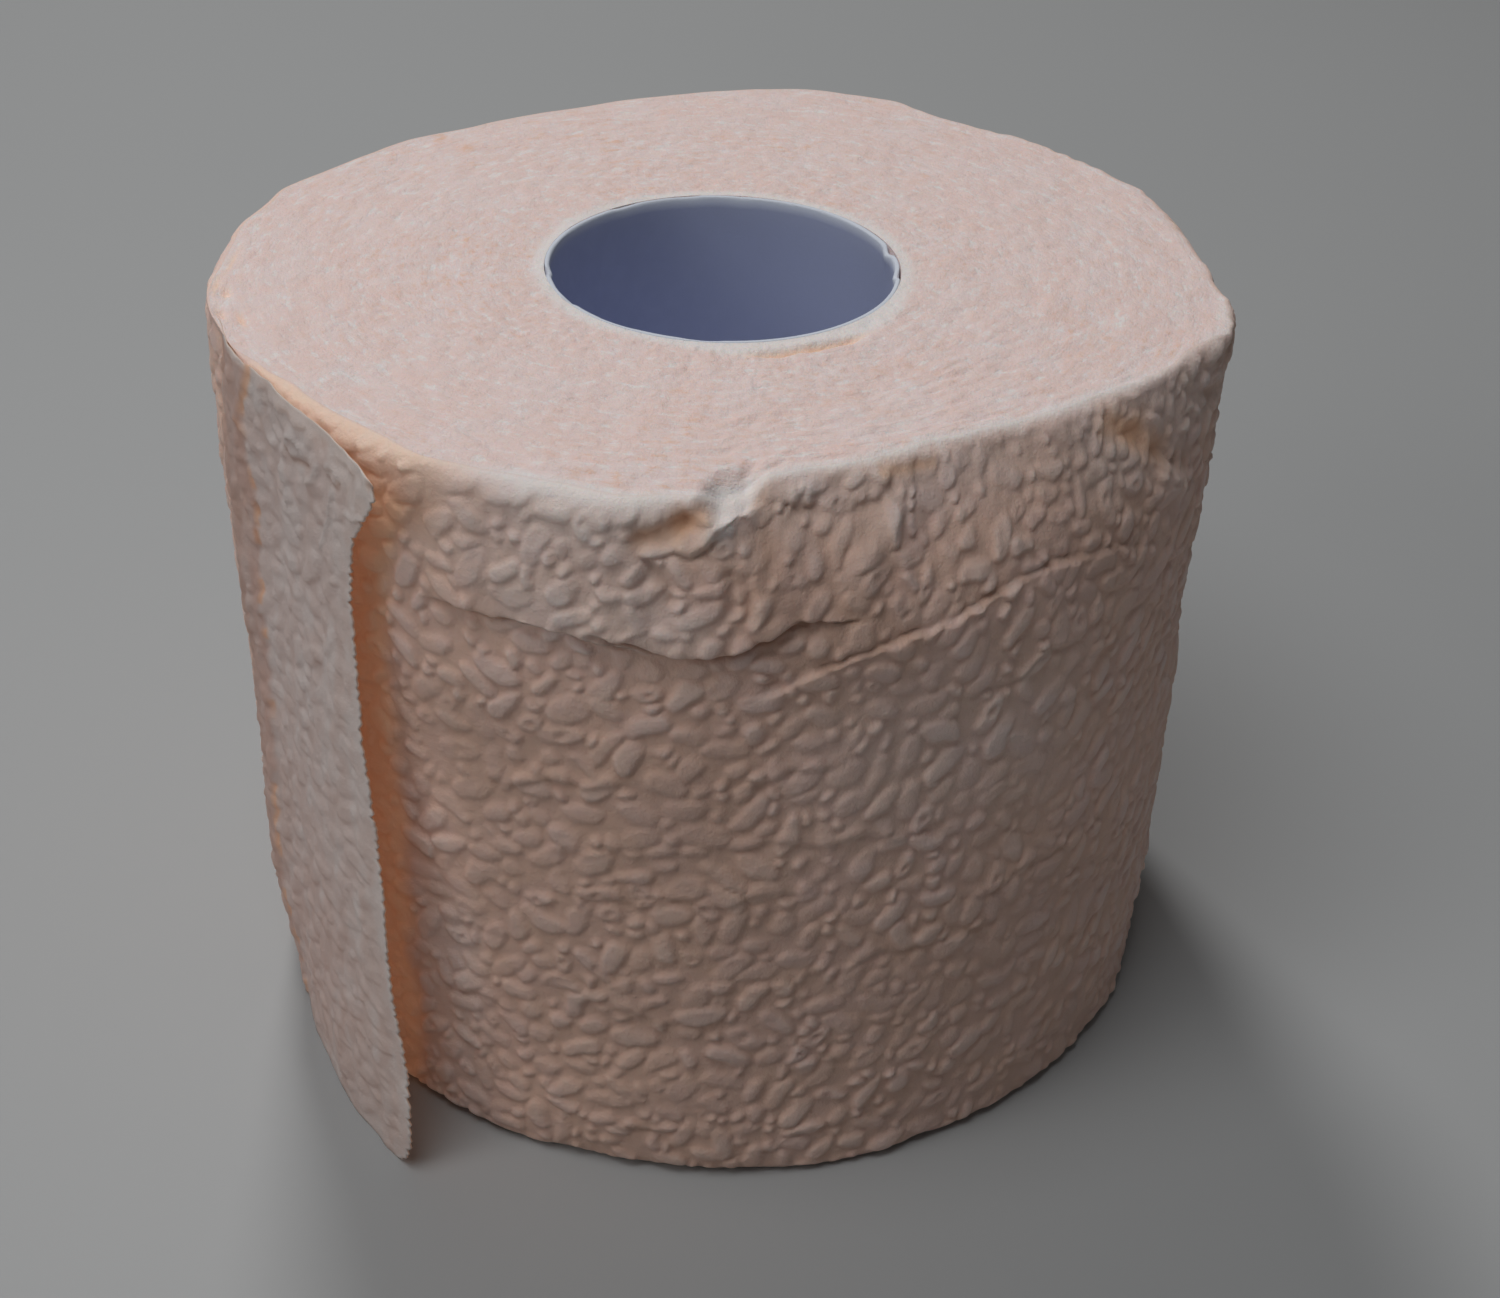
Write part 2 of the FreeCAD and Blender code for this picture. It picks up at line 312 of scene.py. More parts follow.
def grainPlaces():
    # large grains are laid first, then smaller ones into the room that is left
    g = grains
    luck = np.random.default_rng(g["seed"])
    cell = 3.4
    across = int(aroundRoll / cell)
    laid = {}
    places = []
    for tries, lengths, widths in g["sizes"]:
        xs = luck.uniform(0.0, aroundRoll, tries)
        ys = luck.uniform(-g["margin"], rollHeight + g["margin"], tries)
        angle = xs / perDegree
        right = window(angle, (262, 300, 348, 372))
        band = smooth((ys - 77.0) / 5.0) * window(angle, (240, 268, 335, 352))
        lean = np.radians(12.0 + 22.0 * right * (1.0 - band) + 10.0 * band + luck.normal(0.0, 40.0, tries))
        longs, shorts = luck.uniform(*lengths, tries), luck.uniform(*widths, tries)
        size = 1.0 - 0.1 * smooth(1.0 - ys / 30.0) - 0.2 * band
        grainRows = np.stack([xs, ys, longs * size, shorts * size, np.cos(lean), np.sin(lean)], -1)
        for grain in grainRows.tolist():
            column, row = int(grain[0] / aroundRoll * across), int(grain[1] // cell)
            if grainFits(grain, laid, column, row, across):
                laid.setdefault((column, row), []).append(grain)
                places.append(grain)
    return places


def embossSheet():
    # how far the paper is raised, from 0 to 1, over the unrolled side
    g = grains
    step, margin = g["step"], g["margin"]
    luck = np.random.default_rng(g["seed"] + 1)
    columns = round(aroundRoll / step)
    rows = round((rollHeight + 2.0 * margin) / step)
    angle = np.broadcast_to(np.arange(columns)[None, :] * 360.0 / columns, (rows, columns))
    level = np.broadcast_to(np.arange(rows)[:, None] * step - margin, (rows, columns))
    bends = []
    for axis in range(2):
        bend = softNoise(angle, level, 2.0, 1.8, g["seed"] + 2 + axis)
        bends.append(g["waver"] * (bend + 0.7 * softNoise(angle, level, 5.5, 5.0, g["seed"] + 4 + axis)))
    sheet = np.zeros((rows, columns))
    for x, y, long, short, cosine, sine in grainPlaces():
        reach = long + 1.5
        below = max(0, int((y - reach + margin) / step))
        above = min(rows, int((y + reach + margin) / step) + 1)
        if above <= below:
            continue
        near = np.arange(int((x - reach) / step), int((x + reach) / step) + 1)
        patch = np.ix_(np.arange(below, above), near % columns)
        dx = (near * step - x)[None, :] + bends[0][patch]
        dy = (np.arange(below, above) * step - margin - y)[:, None] + bends[1][patch]
        along, beside = cosine * dx + sine * dy, cosine * dy - sine * dx
        beside = beside + luck.uniform(-0.16, 0.16) / long * along ** 2
        away = (np.abs(along / long) ** 2.3 + np.abs(beside / short) ** 2.3) ** (1.0 / 2.3) + 1e-3
        apart = np.hypot(dx, dy) + 1e-3
        outside = apart * (1.0 - 1.0 / away)
        edge = g["edgeBelow"] + (g["edgeAbove"] - g["edgeBelow"]) * (0.5 + 0.5 * dy / apart)
        dome = smooth(0.5 - outside / edge) * (0.76 + 0.24 * (1.0 - np.minimum(away, 1.0) ** 2))
        dome = dome * (1.0 + luck.uniform(-0.3, 0.3) * np.clip(along / long, -1.0, 1.0))
        if luck.uniform() < g["craterShare"]:
            hole = np.hypot(along - luck.uniform(-0.4, 0.4), beside)
            dome = dome * (1.0 - 0.75 * smooth(1.2 - hole / (0.6 * short)))
        sheet[patch] = np.maximum(sheet[patch], luck.uniform(0.55, 1.0) * dome)
    return 0.5 * sheet + 0.25 * (np.roll(sheet, 1, 1) + np.roll(sheet, -1, 1))


raisedPaper = embossSheet()


def embossed(angle, height):
    # the raised grains in millimetres, and 1 in the valleys between them
    g = grains
    rows, columns = raisedPaper.shape
    x = (angle % 360.0) / 360.0 * columns
    y = np.clip((height + g["margin"]) / g["step"], 0.0, rows - 1.001)
    column, row = np.floor(x).astype(int), np.floor(y).astype(int)
    fx, fy = x - column, y - row
    left, right = column % columns, (column + 1) % columns
    low = raisedPaper[row, left] * (1.0 - fx) + raisedPaper[row, right] * fx
    high = raisedPaper[row + 1, left] * (1.0 - fx) + raisedPaper[row + 1, right] * fx
    seed = g["seed"]
    shape = (low * (1.0 - fy) + high * fy) * (0.84 + 0.22 * softNoise(angle, height, 10.0, 8.0, seed + 7))
    fine = 0.05 * softNoise(angle, height, 1.3, 1.1, seed + 8)
    fine = fine + 0.07 * softNoise(angle, height, 2.6, 1.8, seed + 9)
    quiet = 1.0 - 0.08 * smooth((height - 78.0) / 5.0) * window(angle, (236, 246, 352, 362))
    creasing = 0.5 - np.abs(softNoise(angle, height, 3.0, 4.4, seed + 10))
    creasing = 2.2 * (1.0 - quiet) * (0.8 * creasing + softNoise(angle + 50.0, height, 1.3, 2.2, seed + 11))
    return quiet * g["height"] * (shape - 0.45) + fine + creasing, np.clip(1.0 - 1.4 * shape, 0.0, 1.0)


def creased(angle, height):
    # folds round the upper part of the side: change of radius, change of height, and strength of painted shade
    radial = np.zeros(angle.shape)
    vertical = np.zeros(angle.shape)
    shade = np.zeros(angle.shape)
    taut = np.ones(angle.shape)
    for index, c in enumerate(creases):
        strength = window(angle, c["span"]) * (1.0 + 0.3 * ringNoise(angle, 5.0, 41 + index))
        scallop = 0.45 - np.abs(ringNoise(angle, 3.4, 61 + index))
        t = height - np.interp(angle, c["angles"], c["heights"]) + c["waver"] * scallop
        above = c["above"] * smooth((t + 0.3) / 0.6) * np.clip(1.0 - t / c["aboveWidth"], 0.0, 1.0)
        below = c["below"] * np.exp(np.minimum(t, 0.0) / c["belowWidth"]) * smooth((0.3 - t) / 0.6)
        broken = smooth(0.75 + c["broken"] * ringNoise(angle, 4.2, 47 + index))
        slit = broken * bell(t, c["slitAt"], c["slitWidth"])
        radial += strength * (above + below - c["slit"] * slit)
        vertical -= strength * c["droop"] * bell(t, 0.7, 0.8) * (t > -0.2)
        shade += strength * broken * c["dark"] * bell(t, c["slitAt"] - 0.1, 1.15 * c["slitWidth"])
        nearSlit = bell(t, c["slitAt"] - 0.2, c["slitWidth"] + 0.2)
        taut = taut * (1.0 - 0.8 * np.clip(strength, 0.0, 1.0) * nearSlit)
    return radial, vertical, shade, taut


def pathDistance(angle, height, path):
    # distance in millimetres to a path on the unrolled side
    nearest = np.full(angle.shape, 99.0)
    for (firstAngle, firstHeight), (lastAngle, lastHeight) in zip(path, path[1:]):
        alongX, alongY = (lastAngle - firstAngle) * perDegree, lastHeight - firstHeight
        dx = ((angle - firstAngle + 180.0) % 360.0 - 180.0) * perDegree
        dy = height - firstHeight
        share = np.clip((dx * alongX + dy * alongY) / (alongX ** 2 + alongY ** 2), 0.0, 1.0)
        nearest = np.minimum(nearest, np.hypot(dx - share * alongX, dy - share * alongY))
    return nearest


def stroked(angle, height, forms):
    # relief, shade, glow and pale of small forms that follow a path
    relief = np.zeros(angle.shape)
    marks = {"shade": np.zeros(angle.shape), "glow": np.zeros(angle.shape), "pale": np.zeros(angle.shape)}
    wobble = 0.25 * softNoise(angle, height, 1.8, 1.6, 81)
    for form in forms:
        near = bell(pathDistance(angle, height, form["path"]) * (1.0 + wobble), 0.0, form["width"])
        relief += form["proud"] * near
        for name, mark in marks.items():
            mark += form.get(name, 0.0) * near
    return relief, marks["shade"], marks["glow"], marks["pale"]


def wrinkled(angle, height):
    # buckles scattered over the side, each proud above its line and drawn in below it, with painted shade
    # along it
    w = wrinkles
    luck = np.random.default_rng(w["seed"])
    radial = np.zeros(angle.shape)
    shade = np.zeros(angle.shape)
    for count, lengths, heights in (w["short"], w["long"]):
        for index in range(count):
            middle, level = luck.uniform(0.0, 360.0), luck.uniform(4.0, 74.0)
            length, size = luck.uniform(*lengths), luck.uniform(*heights)
            tilt = math.radians(luck.normal(9.0, 9.0))
            bow = luck.uniform(-0.12, 0.12) / length
            sway = luck.uniform(0.3, 0.8)
            phase = luck.uniform(0.0, 6.28)
            x = ((angle - middle + 180.0) % 360.0 - 180.0) * perDegree
            y = height - level
            along = x * math.cos(tilt) + y * math.sin(tilt)
            beside = y * math.cos(tilt) - x * math.sin(tilt) - bow * along ** 2
            beside = beside - sway * np.sin(along * 0.7 + phase)
            fade = np.exp(-(2.0 * along / length) ** 4)
            radial += size * fade * (bell(beside, 0.75, 0.8) - 0.9 * bell(beside, -0.35, 0.5))
            shade += 1.2 * size * fade * bell(beside, -0.2, 0.4)
    return radial, shade


def broadSwell(angle, height):
    swell = softNoise(angle, height, 24.0, 18.0, 51) + 0.5 * softNoise(angle, height, 11.0, 8.0, 52)
    return grains["broadSwell"] * swell


def paintedLightAndShade(angle, height):
    # the washes and bands of painted light, shade and glow, by the name of their mark
    tint = {name: np.zeros(angle.shape) for name in ("pale", "shade", "glow")}
    for name, strength, span, start, full in washes:
        tint[name] += strength * window(angle, span) * smooth((height - start) / (full - start))
    for name, strength, span, middle, reach in bands:
        tint[name] += strength * window(angle, span) * bell(height, middle, reach)
    return tint


def lightInGap(angle, height):
    g = gapLight
    shadowEdge = g["shadowEdge"] + g["topReach"] * smooth((height - 74.0) / 14.0)
    shadowEdge = shadowEdge + 0.7 * levelNoise(height, 9.0, 5.0, 57)
    lit = smooth((angle - g["from"]) / 8.0) * smooth((shadowEdge + 1.6 - angle) / 3.4)
    return lit * smooth((g["upTo"] - height) / 8.0)


def sideRelief(angle, height):
    # everything that stands proud of or behind the plain outline, and the marks that colour it: painted shade,
    # painted light and highlight, and painted glow
    emboss, valley = embossed(angle, height)
    fold, drop, foldShade, taut = creased(angle, height)
    buckle, buckleShade = wrinkled(angle, height)
    dent, dentShade, dentGlow, dentPale = stroked(angle, height, strokes)
    broad = broadSwell(angle, height)
    calm = smooth(height / 1.6) * smooth((rollHeight - height) / 1.8)
    drawn = sum(depth * window(angle, span) * smooth(1.0 - (rollHeight - height) / reach)
                for depth, span, reach in rollShape["drawnIn"])
    recess = rollShape["recess"] - rollShape["tightness"] * window(angle, rollShape["tightSpan"])
    radial = (emboss * taut + recess + fold + buckle) * calm - recess + dent + drawn
    radial = radial + broad * smooth(height / 4.0) + 0.5 * ringNoise(angle, 9.0, 55) * np.exp(-height / 3.0)
    tint = paintedLightAndShade(angle, height)
    shade = np.clip(np.clip(foldShade + dentShade + buckleShade, 0.0, 1.0) + tint["shade"], 0.0, 1.0)
    # the crowns of the grains are made paler as a painted highlight
    pale = tint["pale"] + dentPale + 0.2 * smooth((emboss / grains["height"] - 0.05) / 0.4)
    return radial, drop, valley * calm, pale, shade, lightInGap(angle, height) + tint["glow"] + dentGlow


slack = {
    "span": (270.0, 288.0, 304.0, 319.0),
    "radius": 24.7,
    "width": 0.62,
    "depth": 0.9,
}

turns = {
    # the edges of the turns as they show on the end faces; the front is the roughest
    "pitch": 1.3,
    "startAngle": 200.0,
    "roughSpan": (190, 235, 310, 350),
    "streaks": 0.12,
    "lines": 0.02,
    "patches": 0.16,
}

outerSlits = [
    # middle angle, half length in degrees, distance in from the edge, half width, depth
    (197.6, 1.3, 0.8, 0.34, 1.2),
    (192.4, 1.3, 1.9, 0.36, 1.0),
    (199.6, 1.7, 2.6, 0.3, 0.5),
    (190.5, 2.6, 0.7, 0.25, 0.7),
    (184.0, 3.5, 0.9, 0.22, 0.4),
]


def turnEdges(angle, radius, rim, plain):
    # height of the end face, made by the edges of the wound turns, and the painted glow of its gaps
    share = (radius - coreOuter) / (plain - coreOuter)
    wound = coreOuter + share * (rollShape["radius"] - coreOuter)
    spiral = wound - turns["pitch"] * (angle - turns["startAngle"]) / 360.0
    lines = np.cos(2.0 * math.pi * spiral / turns["pitch"])
    streaks = softNoise(angle, spiral, 6.0, 0.95, 61) + 0.7 * softNoise(angle + 40.0, spiral, 3.4, 0.8, 62)
    patches = softNoise(angle, wound, 14.0, 6.0, 63)
    front = 0.35 + 0.65 * window(angle, turns["roughSpan"]) * smooth((wound - 34.0) / 14.0)
    height = front * (turns["streaks"] * streaks + turns["lines"] * lines * (0.5 + patches))
    height = height + turns["patches"] * patches
    height = height + 0.13 * softNoise(angle, wound, 4.0, 2.2, 64)
    height = height + 0.07 * softNoise(angle, wound, 1.5, 1.1, 65)
    gapMiddle = slack["radius"] + 0.25 * np.sin(np.radians(angle - 270.0) * 2.0)
    gapShare = window(angle, slack["span"])
    gap = gapShare * bell(radius, gapMiddle, slack["width"] * (0.5 + 0.5 * gapShare))
    height = height - slack["depth"] * gap
    glow = 0.85 * gap
    for middle, halfLength, inwards, halfWidth, depth in outerSlits:
        slit = bell(angle, middle, halfLength) * bell(rim - radius, inwards, halfWidth)
        height = height - depth * slit
        glow = glow + 0.8 * slit
    return height, np.clip(glow, 0.0, 1.0)


def profileRows():
    # rows of the body's skin: lower end face, lower rim, side, upper rim, upper end face, bore wall
    edge = rollShape["edgeRound"]
    rimRows = gridSteps["rimRows"]
    faceWidth = rollShape["radius"] - coreOuter
    bottomCount = round(faceWidth / gridSteps["bottomStep"])
    topCount = round(faceWidth / gridSteps["topStep"])
    lowerEdge = rollShape["lowerEdgeRound"]
    lowerCount = round((gridSteps["upperSideFrom"] - lowerEdge) / gridSteps["lowerSideStep"])
    upperCount = round((rollHeight - edge - gridSteps["upperSideFrom"]) / gridSteps["upperSideStep"])
    levels = np.concatenate([
        np.linspace(lowerEdge, gridSteps["upperSideFrom"], lowerCount, endpoint=False),
        np.linspace(gridSteps["upperSideFrom"], rollHeight - edge, upperCount, endpoint=False),
    ])
    rows = [("bottom", 1.0 - index / bottomCount) for index in range(bottomCount)]
    rows += [("lowerRim", 90.0 * index / rimRows) for index in range(rimRows)]
    rows += [("side", level) for level in levels]
    rows += [("upperRim", 90.0 * index / rimRows) for index in range(rimRows)]
    rows += [("top", index / topCount) for index in range(topCount + 1)]
    boreLevels = (rollHeight, rollHeight - 1.5, rollHeight - 5.0, 0.5 * rollHeight, 2.0, 0.0)
    return rows + [("bore", level) for level in boreLevels]


def columnAngles():
    start, end = gridSteps["frontSpan"]
    front = round((end - start) * perDegree / gridSteps["frontStep"])
    back = round((360.0 + start - end) * perDegree / gridSteps["backStep"])
    frontAngles = np.linspace(start, end, front, endpoint=False)
    backAngles = np.linspace(end, start + 360.0, back, endpoint=False)
    return np.concatenate([frontAngles, backAngles]), front


def rimFuzz(angle):
    # the upper edge is soft and finely scalloped, most of all at the far right
    fine = 0.2 * ringNoise(angle, 1.6, 70) * sum(window(angle, span) for span in rollShape["frayedSpans"])
    return fine + 0.16 * ringNoise(angle, 3.4, 71) + 0.3 * ringNoise(angle, 6.5, 72)


def frontal(angle):
    # how pale the upper edge is made, most of all at the front: partly the white of its frayed fibres, partly
    # a painted highlight
    return 0.2 + 0.8 * window(angle, (238, 252, 320, 345)) + 0.7 * window(angle, (342, 347, 351, 356))


def bodySkin():
    rows = profileRows()
    angles, frontCount = columnAngles()
    kinds = [kind for kind, value in rows]
    values = np.array([value for kind, value in rows])
    angle = np.broadcast_to(angles % 360.0, (len(rows), len(angles))).copy()
    ring = angles % 360.0
    edge, lowerEdge = rollShape["edgeRound"], rollShape["lowerEdgeRound"]
    bore = coreOuter + rollShape["boreClearance"]
    radius, height, valley, pale, shade, glow = (np.zeros(angle.shape) for table in range(6))

    def pick(kind):
        return np.array([index for index, name in enumerate(kinds) if name == kind])

    side = pick("side")
    level = np.broadcast_to(values[side][:, None], (len(side), len(angles)))
    # the rows below a rounder upper edge lie closer together
    squeezeFrom = rollHeight - 10.0
    squeeze = (rollHeight - edgeOf(ring) - squeezeFrom) / (rollHeight - edge - squeezeFrom)
    level = np.where(level > squeezeFrom, squeezeFrom + (level - squeezeFrom) * squeeze, level)
    relief, drop, valley[side], pale[side], shade[side], glow[side] = sideRelief(angle[side], level)
    radius[side] = outlineRadius(angle[side], level) + relief
    height[side] = level + drop
    downward = np.gradient(relief, axis=0) / np.gradient(level, axis=0)
    # painted shade under the slopes that face down
    underside = 0.5 * smooth((downward - 0.25) / 1.1) * smooth((rollHeight - level) / 3.0)
    shade[side] = np.maximum(shade[side], underside)

    rims = {}
    for kind, sign in (("lowerRim", -1.0), ("upperRim", 1.0)):
        for row in pick(kind):
            bend = math.radians(values[row] if sign > 0 else 90.0 - values[row])
            rounding = edgeOf(ring) if sign > 0 else lowerEdge + 0.0 * ring
            level = 0.5 * rollHeight + sign * (0.5 * rollHeight - rounding + rounding * math.sin(bend))
            relief, drop, valley[row], pale[row], shade[row], glow[row] = sideRelief(ring, level)
            fuzz = rimFuzz(ring) * (1.0 if sign > 0 else 0.4) * math.sin(bend)
            radius[row] = outlineRadius(ring, level) - rounding * (1.0 - math.cos(bend)) + relief + fuzz
            dip = rollShape["chuteDepth"] * window(ring, rollShape["chuteSpan"]) if sign > 0 else 0.0
            height[row] = level - dip * smooth((level - rollHeight + 3.0) / 3.0)
            pale[row] += (0.75 if sign > 0 else 0.15) * frontal(ring) * math.sin(bend) ** 3
        level = np.full(ring.shape, rollHeight if sign > 0 else 0.0)
        fuzz = rimFuzz(ring) * (1.0 if sign > 0 else 0.4)
        rims[sign] = outlineRadius(ring, level) - rounding + sideRelief(ring, level)[0] + fuzz

    for kind, level, sign in (("bottom", 0.0, -1.0), ("top", rollHeight, 1.0)):
        members = pick(kind)
        share = values[members][:, None]
        rim = np.broadcast_to(rims[sign], (len(members), len(ring)))
        plain = outlineRadius(ring, level) - (edge if sign > 0 else lowerEdge)
        plain = np.broadcast_to(plain, rim.shape)
        here = plain * (1.0 - share) + bore * share + (rim - plain) * (1.0 - smooth(share * 4.0))
        # warm here is the painted glow in the gaps of the end faces
        relief, warm = turnEdges(angle[members], here, rim, plain)
        fade = smooth((rim - here) / 1.2)
        fromBore = smooth((here - bore) / 2.0)
        if sign < 0:
            relief = np.minimum(relief, 0.0) * 0.4
            warm = warm * 0.0
        else:
            relief = relief * fromBore
            chute = smooth(1.0 - (rim - here) / rollShape["chuteReach"]) * window(ring, rollShape["chuteSpan"])
        radius[members] = here
        height[members] = level + sign * relief * fade
        glow[members] = warm
        ringWidth = 0.6 + 1.6 * window(angle[members], (255, 280, 318, 350))
        paleRing = 0.95 * (1.0 - smooth((here - bore - ringWidth) / 1.8))
        pale[members] = 0.7 * smooth(1.0 - (rim - here) / 1.6) * frontal(ring) + paleRing
        if sign > 0:
            height[members] -= rollShape["chuteDepth"] * chute
            # the chute is made pale with a painted highlight
            pale[members] += 0.8 * chute

    wall = pick("bore")
    radius[wall] = bore
    height[wall] = values[wall][:, None]

    turn = np.radians(angle)
    points = np.stack([radius * np.cos(turn), radius * np.sin(turn), height], -1)
    marks = np.clip(np.stack([valley, pale, shade, glow], -1), 0.0, 1.0)
    return points, marks, kinds, frontCount


def gridNormals(points):
    # smooth normals of a grid whose columns close into a ring
    across = np.roll(points, -1, 1) - np.roll(points, 1, 1)
    up = np.gradient(points, axis=0)
    normals = np.cross(across, up)
    length = np.linalg.norm(normals, axis=-1, keepdims=True)
    return normals / np.maximum(length, 1e-12)


def meshFrom(name, corners, faces, marks, normals=None):
    mesh = bpy.data.meshes.new(name)
    mesh.from_pydata((corners * mm).tolist(), [], faces.tolist())
    mesh.polygons.foreach_set("use_smooth", np.ones(len(faces), bool))
    layer = mesh.attributes.new("marks", "FLOAT_COLOR", "POINT")
    layer.data.foreach_set("color", marks.astype(np.float32).ravel())
    mesh.validate()
    if normals is not None:
        mesh.normals_split_custom_set_from_vertices(normals.tolist())
    piece = bpy.data.objects.new(name, mesh)
    bpy.context.scene.collection.objects.link(piece)
    return piece


def gridPiece(name, points, marks, normals, rowSpan, columnSpan):
    # a piece cut from the body's skin, between two rows and two columns
    firstRow, lastRow = rowSpan
    firstColumn, lastColumn = columnSpan
    columns = np.arange(firstColumn, lastColumn + 1) % points.shape[1]
    picked = np.ix_(np.arange(firstRow, lastRow + 1), columns)
    rows, wide = lastRow - firstRow + 1, len(columns)
    number = np.arange(rows * wide).reshape(rows, wide)
    a, b = number[:-1, :-1], number[:-1, 1:]
    c, d = number[1:, 1:], number[1:, :-1]
    faces = np.stack([a, b, c, d], -1).reshape(-1, 4)
    corners = points[picked].reshape(-1, 3)
    colours = marks[picked].reshape(-1, 4)
    directions = normals[picked].reshape(-1, 3)
    if lastColumn - firstColumn == points.shape[1]:
        # all the way round, so the last column is the first one again
        onto = np.arange(rows * wide)
        onto[number[:, -1]] = number[:, 0]
        faces = onto[faces]
        kept = np.setdiff1d(np.arange(rows * wide), number[:, -1])
        renumber = np.zeros(rows * wide, int)
        renumber[kept] = np.arange(len(kept))
        faces = renumber[faces]
        corners, colours, directions = corners[kept], colours[kept], directions[kept]
    return meshFrom(name, corners, faces, colours, directions)


def woundPieces():
    points, marks, kinds, frontCount = bodySkin()
    normals = gridNormals(points)
    ringCount = points.shape[1]
    backMiddle = (frontCount + ringCount) // 2
    sideStart, sideEnd = kinds.index("lowerRim"), kinds.index("top")
    boreStart, last = kinds.index("bore"), len(kinds) - 1
    cuts = [
        ("side_front_left", (sideStart, sideEnd), (0, frontCount // 2)),
        ("side_front_right", (sideStart, sideEnd), (frontCount // 2, frontCount)),
        ("side_back_right", (sideStart, sideEnd), (frontCount, backMiddle)),
        ("side_back_left", (sideStart, sideEnd), (backMiddle, ringCount)),
        ("turns_top", (sideEnd, boreStart - 1), (0, ringCount)),
        ("turns_bore", (boreStart, last), (0, ringCount)),
        ("turns_bottom", (0, sideStart), (0, ringCount)),
    ]
    return [gridPiece(name, points, marks, normals, rowSpan, columnSpan) for name, rowSpan, columnSpan in cuts]


looseEnd = {
    "span": (199.0, 240.0),
    "liftLower": 10.6,
    "liftUpper": 6.0,
    # how the stand-off grows along the sheet, at the lower and the upper edge
    "curlLower": 1.11,
    "curlUpper": 5.0,
    "thickness": 0.3,
    # the torn edge: heights, and how far the tear runs back into the sheet at each
    "tearHeights": (0.0, 0.7, 1.8, 3.5, 9.0, 16.8, 24.2, 31.9, 40.0, 46.7,
                    54.0, 61.0, 71.6, 77.0, 82.0, 84.8, 88.0, 91.2, 93.7, 95.0),
    "tearDepths": (2.6, 1.2, 0.2, -0.6, -0.8, 0.1, 1.8, 2.8, 3.5, 5.0,
                   6.0, 7.1, 8.0, 8.5, 8.0, 7.0, 4.5, 1.7, 0.1, 1.2),
    "toothPitch": 1.3,
    "toothDepth": 0.75,
    "rowStep": 0.3,
    "columnStep": 0.5,
    # where the sheet beneath shows beyond the edge of the one that lies on it
    "seamAngles": (211.0, 209.4, 209.0, 210.0, 209.4, 210.2, 208.6, 209.6),
    "seamHeights": (95.0, 90.0, 84.0, 77.0, 66.0, 50.0, 30.0, 0.0),
    "seed": 83,
}

tailStrokes = [
    # rings of the loose end with a painted highlight above and painted shade below, painted glints, and small
    # spots of painted glow and painted shade
    {"path": ((222.6, 90.4), (221.6, 91.2), (220.2, 90.6), (219.8, 89.0)), "proud": 0.35, "width": 0.35,
     "pale": 1.0},
    {"path": ((219.8, 89.0), (220.8, 88.2), (222.6, 88.4), (224.6, 88.9)), "proud": -0.3, "width": 0.3,
     "shade": 0.6},
    {"path": ((231.4, 91.0), (230.4, 91.7), (229.0, 91.0), (228.6, 89.8)), "proud": 0.35, "width": 0.32,
     "pale": 0.8},
    {"path": ((228.6, 89.8), (229.6, 89.2), (231.0, 89.4), (231.6, 90.4)), "proud": -0.3, "width": 0.28,
     "shade": 0.5},
    {"path": ((226.8, 90.0), (225.6, 87.8), (224.4, 87.0)), "proud": 0.4, "width": 0.35, "pale": 0.7},
    {"path": ((229.4, 88.0), (228.6, 84.6), (226.6, 80.0)), "proud": 0.4, "width": 0.25, "pale": 1.0},
    {"path": ((232.3, 87.1), (234.2, 87.6), (236.1, 88.9)), "proud": 0.35, "width": 0.25, "pale": 1.0},
    {"path": ((238.4, 94.2), (239.0, 94.4)), "proud": -0.3, "width": 0.4, "shade": 0.9},
    {"path": ((218.0, 86.0), (219.2, 83.4), (219.6, 80.6)), "proud": 0.4, "width": 0.3, "pale": 0.8},
    {"path": ((208.2, 86.6), (209.6, 86.0)), "proud": 0.3, "width": 0.7, "glow": 0.5},
    {"path": ((209.6, 72.8), (210.0, 71.6)), "proud": -0.2, "width": 0.5, "glow": 0.9, "shade": 0.4},
    {"path": ((209.9, 76.6), (210.2, 75.6)), "proud": -0.2, "width": 0.4, "glow": 0.6, "shade": 0.4},
]


def tornShare(height, length):
    # how far along the sheet the torn edge lies at a height, with its teeth
    e = looseEnd
    luck = np.random.default_rng(e["seed"])
    depth = np.interp(height / rollHeight * e["tearHeights"][-1], e["tearHeights"], e["tearDepths"])
    count = int(rollHeight / e["toothPitch"]) + 3
    places = np.cumsum(luck.uniform(0.6, 1.4, 2 * count)) * 0.5 * e["toothPitch"]
    lengths = np.where(np.arange(2 * count) % 2, 1.0, -0.2) * luck.uniform(0.2, 1.0, 2 * count)
    teeth = e["toothDepth"] * np.interp(height, places, lengths)
    return 1.0 - (depth + teeth) / length


